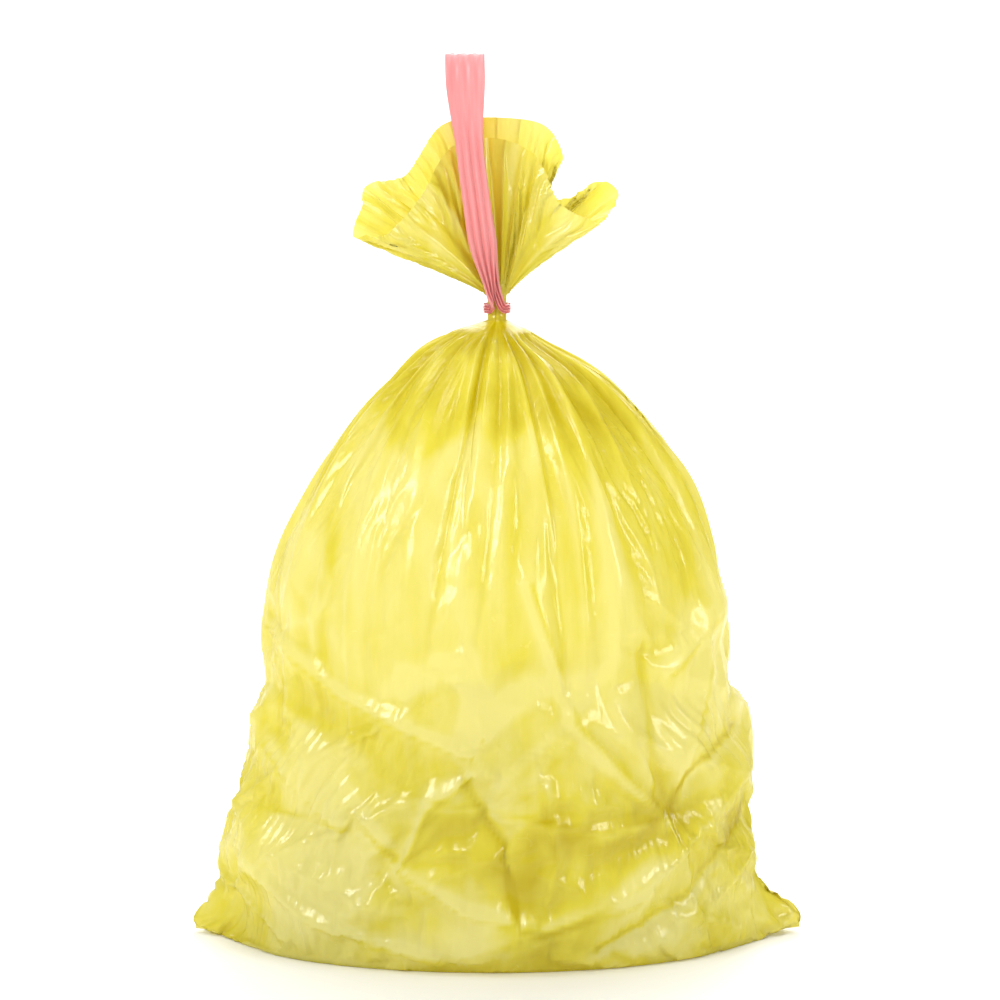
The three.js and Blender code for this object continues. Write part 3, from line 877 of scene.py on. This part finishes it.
@dataclass(frozen=True)
class Rubbish:
    """What the bag holds: soft crumpled bundles heaped in its lower half."""

    name: str = "contents_rubbish"
    seed: int = 5
    around: int = 56
    rows: int = 30
    squareness: float = 0.8
    floor: float = 2 * MM
    # The same bundles as the solid heap's: middle x, y and z and the reach along each, in mm.
    bundles: tuple[tuple[float, ...], ...] = (
        (-105, -10, 42, 58, 66, 52), (-20, -42, 40, 52, 48, 50), (72, -22, 46, 56, 58, 56),
        (122, 18, 50, 44, 50, 60), (-70, 44, 46, 60, 46, 56), (30, 48, 44, 62, 46, 54),
        (-96, -4, 124, 44, 52, 46), (92, 6, 126, 44, 52, 48), (-30, 22, 126, 46, 50, 44),
        (28, -12, 90, 34, 46, 38), (34, 26, 148, 44, 44, 40),
    )

    def build(self) -> Piece:
        """Make all the bundles as one mesh.

        Returns:
            The contents as one object.
        """
        around, rows = self.around, self.rows
        angles = np.arange(around) * FULL_TURN / around
        tilt = (np.linspace(0.02, 0.98, rows) - 0.5) * math.pi
        level, upright = np.cos(tilt)[:, None], np.repeat(np.sin(tilt)[:, None], around, axis=1)
        unit = np.stack([level * np.cos(angles), level * np.sin(angles), upright], axis=-1)
        squared = np.sign(unit) * np.abs(unit) ** self.squareness
        side = grid_faces(rows, around)
        bottom, top = np.arange(around)[::-1], np.arange(around) + (rows - 1) * around
        points, faces = [], []
        for i, bundle in enumerate(self.bundles):
            rough = 1 - 0.085 * np.abs(soft_noise((rows, around), 13, 9, self.seed + i))
            rough -= 0.035 * np.abs(soft_noise((rows, around), 6, 5, self.seed + 40 + i))
            grid = squared * rough[:, :, None] * np.array(bundle[3:]) * MM
            grid = grid + np.array(bundle[:3]) * MM
            grid[:, :, 2] = np.maximum(grid[:, :, 2], self.floor)
            points.append(grid)
            start = i * rows * around
            faces += (side + start).tolist() + [(bottom + start).tolist(), (top + start).tolist()]
        piece = add_mesh(self.name, np.array(points), faces)
        LOG.info("%s: %d points", piece.name, len(piece.data.vertices))
        return piece


@dataclass(frozen=True)
class Drawtape:
    """One flat drawtape: gathered round half of the neck and pulled up into a loop."""

    side: Side
    width: float = 26 * MM
    creased_width: float = 18 * MM
    thickness: float = 0.35 * MM
    bunch: float = 1.7 * MM
    band: float = 3.2 * MM
    neck_radius: float = 6.4 * MM
    neck_gap: float = 0.3 * MM
    foot: float = 424 * MM
    flutes: float = 3.5
    points_along: int = 170
    points_across: int = 26
    # The same route as the solid tape's: x, distance from the middle plane and height above the
    # neck's foot, in millimetres.
    route: tuple[Triple, ...] = (
        (-8.2, 1.8, 8), (-7.3, 4.1, 8), (-5.7, 6.2, 8), (-3.7, 7.6, 8.6),
        (-3.6, 9.6, 15), (-5.4, 12, 26), (-8.6, 15.4, 42), (-11.5, 19.2, 62), (-14.3, 22.2, 84),
        (-17.2, 24.2, 107), (-19.4, 25.2, 130), (-20.6, 25.2, 150), (-21.2, 23.8, 166),
        (-21.4, 20.2, 175), (-21.4, 14.8, 178), (-21.4, 9.2, 175), (-21.2, 6, 166),
        (-20.6, 5.2, 150), (-19.4, 5.6, 130), (-17.2, 6.8, 107),
        (-14, 8.4, 84), (-10.6, 9.4, 62), (-6.6, 9.4, 42), (-2.6, 8.9, 26), (1.2, 8.4, 15),
        (3.7, 7.6, 8.6), (5.7, 6.2, 8), (7.3, 4.1, 8), (8.2, 1.8, 8),
    )

    @property
    def name(self) -> str:
        """The piece's name."""
        return f"drawtape_{self.side.name.lower()}_strip"

    @property
    def node(self) -> str:
        """The solid that this tape stands for."""
        return f"drawtape_{self.side.name.lower()}"

    def centre_line(self, steps: int) -> Array:
        """Read the route at even lengths.

        Args:
            steps: How many points to give.

        Returns:
            The points, in metres.
        """
        places = np.array([(x, self.side.value * out, z) for x, out, z in self.route]) * MM
        places[:, 2] += self.foot
        fine = catmull(places, np.linspace(0, 1, 1200))
        return resample(fine, np.linspace(0, 1, steps))

    def build(self) -> Piece:
        """Make the tape's mesh: a thin fluted strip along its route.

        Returns:
            The tape as one object.
        """
        centres = self.centre_line(self.points_along)
        along = np.gradient(centres, axis=0)
        along /= np.linalg.norm(along, axis=1, keepdims=True)
        travelled = lengths_along(centres)
        length = travelled[-1]
        gathered = 0.5 * math.pi * (self.neck_radius + self.neck_gap + self.bunch)
        from_neck = np.minimum(travelled, length - travelled) - gathered
        flat = smoothstep(from_neck, -0.4 * gathered, 2 * gathered)[:, None]
        widened = smoothstep(from_neck, 0, 3.5 * gathered)
        creased = self.band + (self.creased_width / 2 - self.band) * widened
        spread = smoothstep(from_neck, length / 3.6, length / 2.4)
        half_width = creased + (self.width / 2 - creased) * spread
        across = np.array([1.0, 0, 0]) * flat + np.array([0, 0, 1.0]) * (1 - flat)
        across -= along * (across * along).sum(axis=1, keepdims=True)
        across /= np.linalg.norm(across, axis=1, keepdims=True)
        outwards = np.cross(along, across)
        place = np.linspace(-1, 1, self.points_across)
        start = 0.7 if self.side is Side.FRONT else 2.1
        phase = 0.6 * np.sin(travelled / length * 5.0)[:, None] + start
        wave = np.sin(place[None, :] * self.flutes * math.pi + phase)
        fold = np.sign(wave) * np.abs(wave) ** 0.8
        depth = (0.55 + 0.85 * smoothstep(self.width / 2 - half_width, 0.5 * MM, 6 * MM)) * MM
        lift = fold * depth[:, None] * (0.55 + 0.45 * (1 - place[None, :] ** 2))
        middle = (
            centres[:, None, :]
            + across[:, None, :] * (half_width[:, None] * place[None, :])[:, :, None]
            + outwards[:, None, :] * lift[:, :, None]
        )
        shell = outwards[:, None, :] * self.thickness / 2
        ring = np.concatenate([middle + shell, (middle - shell)[:, ::-1]], axis=1)
        piece = add_mesh(self.name, ring, grid_faces(*ring.shape[:2]).tolist())
        give_values(piece, "lengthwise", np.repeat(travelled[:, None], ring.shape[1], axis=1))
        sideways = np.concatenate([place, place[::-1]])[None, :] * half_width[:, None]
        give_values(piece, "sideways", sideways)
        LOG.info("%s: %.0f mm long", piece.name, length / MM)
        return piece


class NodeSheet:
    """A small helper that lays out one material's nodes."""

    def __init__(self, name: str) -> None:
        """Make an empty material.

        Args:
            name: The material's name.
        """
        self.material = bpy.data.materials.new(name)
        self.material.use_nodes = True
        self.tree = self.material.node_tree
        self.tree.nodes.clear()

    def add(self, kind: str, **inputs: object) -> bpy.types.Node:
        """Add a node and fill its sockets.

        Args:
            kind: The node's type, without the ShaderNode prefix.
            inputs: Socket names, with spaces as underscores, and the value or socket for each. A
                name that isn't a socket is a setting of the node.

        Returns:
            The new node.
        """
        node = self.tree.nodes.new("ShaderNode" + kind)
        for key, value in inputs.items():
            label = key.replace("_", " ")
            if label not in node.inputs and hasattr(node, key):
                setattr(node, key, value)
                continue
            self.fill(node.inputs[label], value)
        return node

    def fill(self, socket: Socket, value: object) -> None:
        """Link a socket, or set its value.

        Args:
            socket: The socket to fill.
            value: Another socket, or a plain value.
        """
        if isinstance(value, Socket):
            self.tree.links.new(value, socket)
        else:
            socket.default_value = value

    def maths(self, kind: str, first: object, second: object = 0.0) -> Socket:
        """Add a maths node.

        Args:
            kind: The operation, such as MULTIPLY.
            first: Its first number or socket.
            second: Its second number or socket.

        Returns:
            The result's socket.
        """
        node = self.tree.nodes.new("ShaderNodeMath")
        node.operation = kind
        self.fill(node.inputs[0], first)
        self.fill(node.inputs[1], second)
        return node.outputs[0]

    def ramp(self, factor: Socket, *stops: tuple[float, Triple]) -> Socket:
        """Add a colour ramp.

        Args:
            factor: The socket that drives it.
            stops: A place from 0 to 1 and its colour, for each stop.

        Returns:
            The colour's socket.
        """
        node = self.tree.nodes.new("ShaderNodeValToRGB")
        elements = node.color_ramp.elements
        while len(elements) < len(stops):
            elements.new(0.5)
        for element, (place, colour) in zip(elements, stops):
            element.position = place
            element.color = (*colour, 1.0)
        self.fill(node.inputs[0], factor)
        return node.outputs[0]

    def attribute(self, name: str) -> Socket:
        """Read a number that is stored at each point of the mesh."""
        return self.add("Attribute", attribute_name=name).outputs["Fac"]

    def noise(self, where: Socket, scale: float, detail: float, warp: float = 0.0) -> Socket:
        """Add a noise texture at some coordinates."""
        node = self.add("TexNoise", Vector=where, Scale=scale, Detail=detail, Distortion=warp)
        return node.outputs[0]

    def mixed(self, share: object, first: Socket, second: Socket) -> Socket:
        """Mix two surfaces.

        Args:
            share: How much of the second surface there is, as a number or socket.
            first: The first surface.
            second: The second surface.

        Returns:
            The mixed surface's socket.
        """
        node = self.add("MixShader", Fac=share)
        for socket, surface in zip(node.inputs[1:], (first, second)):
            self.fill(socket, surface)
        return node.outputs[0]

    def stretched(self, stretch: Triple) -> Socket:
        """Give object coordinates, stretched along each axis."""
        where = self.add("TexCoord").outputs["Object"]
        return self.add("Mapping", Vector=where, Scale=stretch).outputs[0]

    def output(self, surface: Socket) -> Material:
        """Join the surface to the output and give the finished material."""
        self.add("OutputMaterial", Surface=surface)
        return self.material


@dataclass(frozen=True)
class FilmFinish:
    """Translucent yellow blown film, glossy and creased, deeper in colour where it gathers."""

    name: str = "yellow_blown_film"
    pale: Triple = (0.94, 0.88, 0.3)
    mid: Triple = (0.85, 0.76, 0.07)
    deep: Triple = (0.62, 0.5, 0.0)
    glow: Triple = (1.0, 0.91, 0.14)
    roughness: float = 0.22
    shine: float = 0.28
    see_through: float = 0.11

    def build(self) -> Material:
        """Make the material.

        Returns:
            The finished material.
        """
        sheet = NodeSheet(self.name)
        gathered = sheet.attribute("gathered")
        frill = sheet.attribute("frill")
        # The stored tone, with painted light and shade besides the film's own tone.
        laid = sheet.attribute("tone")
        upright = sheet.stretched((1.0, 1.0, 0.16))
        plain = sheet.stretched((1.0, 1.0, 1.0))
        streaks = sheet.noise(upright, 62.0, 4.0, 0.4)
        clouds = sheet.noise(plain, 9.0, 3.0, 0.3)
        crinkle = sheet.noise(plain, 95.0, 5.0, 1.2)
        long_crinkle = sheet.noise(upright, 150.0, 3.0, 0.8)
        tone = sheet.maths("ADD", laid, sheet.maths("MULTIPLY", streaks, 0.44))
        tone = sheet.maths("ADD", tone, sheet.maths("MULTIPLY", clouds, 0.16))
        tone = sheet.maths("ADD", tone, sheet.maths("MULTIPLY", gathered, 0.35))
        colour = sheet.ramp(tone, (0.12, self.pale), (0.45, self.mid), (0.9, self.deep))
        off, on = (0.0, 0.0, 0.0), (1.0, 1.0, 1.0)
        band = sheet.ramp(frill, (0.8, off), (0.82, on), (0.985, on), (1.0, off))
        rough = sheet.maths("MULTIPLY_ADD", crinkle, 0.22)
        rough.node.inputs[2].default_value = self.roughness - 0.1
        height = sheet.maths("MULTIPLY", long_crinkle, 0.6)
        height = sheet.maths("ADD", sheet.maths("MULTIPLY", crinkle, 0.4), height)
        bump = sheet.add("Bump", Strength=0.42, Distance=0.0012, Height=height).outputs[0]
        coated = sheet.add("BsdfPrincipled", Base_Color=colour, Roughness=rough, Normal=bump)
        coated.inputs["IOR"].default_value = 1.51
        coated.inputs["Specular IOR Level"].default_value = 0.62
        glow = sheet.ramp(tone, (0.12, self.glow), (0.9, self.deep))
        shine_through = sheet.add("BsdfTranslucent", Color=glow, Normal=bump).outputs[0]
        film = sheet.mixed(self.shine, coated.outputs[0], shine_through)
        clear = sheet.add("BsdfTransparent", Color=(0.98, 0.93, 0.42, 1.0)).outputs[0]
        openness = sheet.maths("MULTIPLY", sheet.maths("SUBTRACT", 1.0, gathered), self.see_through)
        openness = sheet.maths("SUBTRACT", openness, sheet.maths("MULTIPLY", band, 0.06))
        lower = sheet.maths("SUBTRACT", 1.0, sheet.maths("MULTIPLY", frill, 0.6))
        openness = sheet.maths("MULTIPLY", openness, lower)
        return sheet.output(sheet.mixed(openness, film, clear))


@dataclass(frozen=True)
class TapeFinish:
    """Satin pink tape film with fine lengthwise creases."""

    name: str = "pink_tape_film"
    pale: Triple = (1.0, 0.51, 0.51)
    deep: Triple = (1.0, 0.4, 0.4)
    roughness: float = 0.34
    shine: float = 0.35

    def build(self) -> Material:
        """Make the material.

        Returns:
            The finished material.
        """
        sheet = NodeSheet(self.name)
        lengthwise = sheet.attribute("lengthwise")
        sideways = sheet.attribute("sideways")
        drawn_out = sheet.maths("MULTIPLY", lengthwise, 0.08)
        where = sheet.add("CombineXYZ", X=sideways, Y=drawn_out).outputs[0]
        lines = sheet.noise(where, 420.0, 3.0, 0.2)
        mottle = sheet.noise(sheet.stretched((1.0, 1.0, 0.3)), 60.0, 3.0)
        fine, broad = sheet.maths("MULTIPLY", lines, 0.65), sheet.maths("MULTIPLY", mottle, 0.35)
        tone = sheet.maths("ADD", fine, broad)
        colour = sheet.ramp(tone, (0.35, self.deep), (0.6, self.pale))
        bump = sheet.add("Bump", Strength=0.35, Distance=0.0006, Height=lines).outputs[0]
        body = sheet.add("BsdfPrincipled", Base_Color=colour, Roughness=self.roughness, Normal=bump)
        glow = sheet.add("BsdfTranslucent", Color=(1.0, 0.4, 0.42, 1.0), Normal=bump).outputs[0]
        return sheet.output(sheet.mixed(self.shine, body.outputs[0], glow))


@dataclass(frozen=True)
class RubbishFinish:
    """Matt crumpled paper and packaging in pale and brownish tones."""

    name: str = "crumpled_paper"
    brown: Triple = (0.42, 0.34, 0.1)
    buff: Triple = (0.85, 0.79, 0.45)
    cream: Triple = (0.94, 0.92, 0.66)

    def build(self) -> Material:
        """Make the material.

        Returns:
            The finished material.
        """
        sheet = NodeSheet(self.name)
        where = sheet.stretched((1.0, 1.0, 1.0))
        patches = sheet.noise(where, 11.0, 2.0, 0.5)
        grain = sheet.noise(where, 140.0, 4.0, 0.8)
        colour = sheet.ramp(patches, (0.38, self.brown), (0.48, self.buff), (0.62, self.cream))
        bump = sheet.add("Bump", Strength=0.5, Distance=0.002, Height=grain).outputs[0]
        body = sheet.add("BsdfPrincipled", Base_Color=colour, Roughness=0.8, Normal=bump)
        return sheet.output(body.outputs[0])


@dataclass(frozen=True)
class StudioFinish:
    """The plain pale floor's own surface."""

    name: str = "studio_white"

    def build(self) -> Material:
        """Make the material.

        Returns:
            The finished material.
        """
        sheet = NodeSheet(self.name)
        body = sheet.add("BsdfPrincipled", Base_Color=(0.93, 0.93, 0.92, 1.0), Roughness=0.75)
        return sheet.output(body.outputs[0])


@dataclass(frozen=True)
class Studio:
    """Camera, lamps and a plain pale floor that curves up behind the bag."""

    aim: Triple = (0.002, 0.0, 0.301)
    # Each lamp's name, place, the point it looks at, the side of its face in metres and its watts.
    lamps: tuple[tuple[str, Triple, Triple, float, float], ...] = (
        ("key_lamp", (-1.7, -1.6, 1.5), aim, 0.8, 30.5),
        ("fill_lamp", (1.9, -1.3, 0.9), aim, 0.7, 16.0),
        ("top_lamp", (0.1, -0.7, 2.4), aim, 0.9, 11.5),
        ("back_lamp", (0.3, 1.8, 1.5), aim, 1.4, 22.0),
        ("backdrop_lamp", (0.0, 0.9, 2.9), (0.0, 3.4, 1.2), 2.2, 105.0),
    )
    room_light: float = 0.39
    distance: float = 2.4
    elevation: float = 8.0
    frame_width: float = 0.68
    sensor: float = 36.0

    def set_camera(self) -> None:
        """Place the camera at the photograph's viewing angle."""
        data = bpy.data.cameras.new("camera")
        data.sensor_width = self.sensor
        data.lens = self.sensor * self.distance / self.frame_width
        camera = bpy.data.objects.new("camera", data)
        tilt = math.radians(self.elevation)
        back = Vector((0.0, -math.cos(tilt), math.sin(tilt)))
        camera.location = Vector(self.aim) + back * self.distance
        camera.rotation_mode = "QUATERNION"
        camera.rotation_quaternion = (-back).to_track_quat("-Z", "Y")
        bpy.context.scene.collection.objects.link(camera)
        bpy.context.scene.camera = camera

    def hang_lamps(self) -> None:
        """Hang the soft square lamps."""
        for name, place, aim, size, power in self.lamps:
            data = bpy.data.lights.new(name, "AREA")
            data.size = size
            data.energy = power
            lamp = bpy.data.objects.new(name, data)
            lamp.location = place
            lamp.rotation_mode = "QUATERNION"
            lamp.rotation_quaternion = (Vector(aim) - Vector(place)).to_track_quat("-Z", "Y")
            bpy.context.scene.collection.objects.link(lamp)

    def build(self) -> None:
        """Make the floor, the backdrop, the lamps and the room's own light."""
        turn = np.linspace(0, math.pi / 2, 14)
        bend, back, front, top, half = 1.4, 2.2, -4.5, 4.5, 6.0
        profile = [(front, 0.0), (back, 0.0)]
        profile += [(back + bend * math.sin(a), bend - bend * math.cos(a)) for a in turn[1:]]
        profile.append((back + bend, top))
        grid = np.array([[(x, y, z - 0.0004) for x in (half, -half)] for y, z in profile])
        floor = add_mesh("studio_floor", grid, grid_faces(*grid.shape[:2], closed=False).tolist())
        floor.data.materials.append(StudioFinish().build())
        self.hang_lamps()
        world = bpy.data.worlds.new("studio_world")
        world.use_nodes = True
        backdrop = world.node_tree.nodes["Background"]
        backdrop.inputs["Color"].default_value = (1.0, 1.0, 1.0, 1.0)
        backdrop.inputs["Strength"].default_value = self.room_light
        bpy.context.scene.world = world
        bpy.context.scene.view_settings.view_transform = "Standard"


class GarbageBag:
    """The whole bag: the film, its drawtapes and what it holds."""

    def __init__(self) -> None:
        """Name the sub-assemblies."""
        self.film = FilmSheet()
        self.tapes = [Drawtape(side) for side in Side]
        self.rubbish = Rubbish()

    def settle(self, piece: Piece, slot: Slot, finish: Material, *nodes: str) -> None:
        """Dress a piece and join it to the part's body.

        Args:
            piece: The piece.
            slot: The record's material slot meant for the piece; not used.
            finish: Its material.
            nodes: The solids that it stands for.
        """
        piece.data.materials.append(finish)
        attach(piece, ROOT)
        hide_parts(*nodes)
        LOG.info("%s stands for %s", piece.name, ", ".join(nodes))

    def build(self) -> None:
        """Make every piece, the tapes first."""
        tape_finish = TapeFinish().build()
        for tape in self.tapes:
            self.settle(tape.build(), Slot.TAPE, tape_finish, tape.node)
        self.settle(self.rubbish.build(), Slot.CONTENTS, RubbishFinish().build(), "contents_core")
        film = self.film.build()
        self.settle(film, Slot.FILM, FilmFinish().build(), "film_bag")


def main() -> None:
    """Load the frame, set the studio and build the bag."""
    logging.basicConfig(level=logging.INFO, format="%(name)s: %(message)s")
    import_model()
    studio = Studio()
    studio.set_camera()
    GarbageBag().build()
    studio.build()


if __name__ == "__main__":
    main()
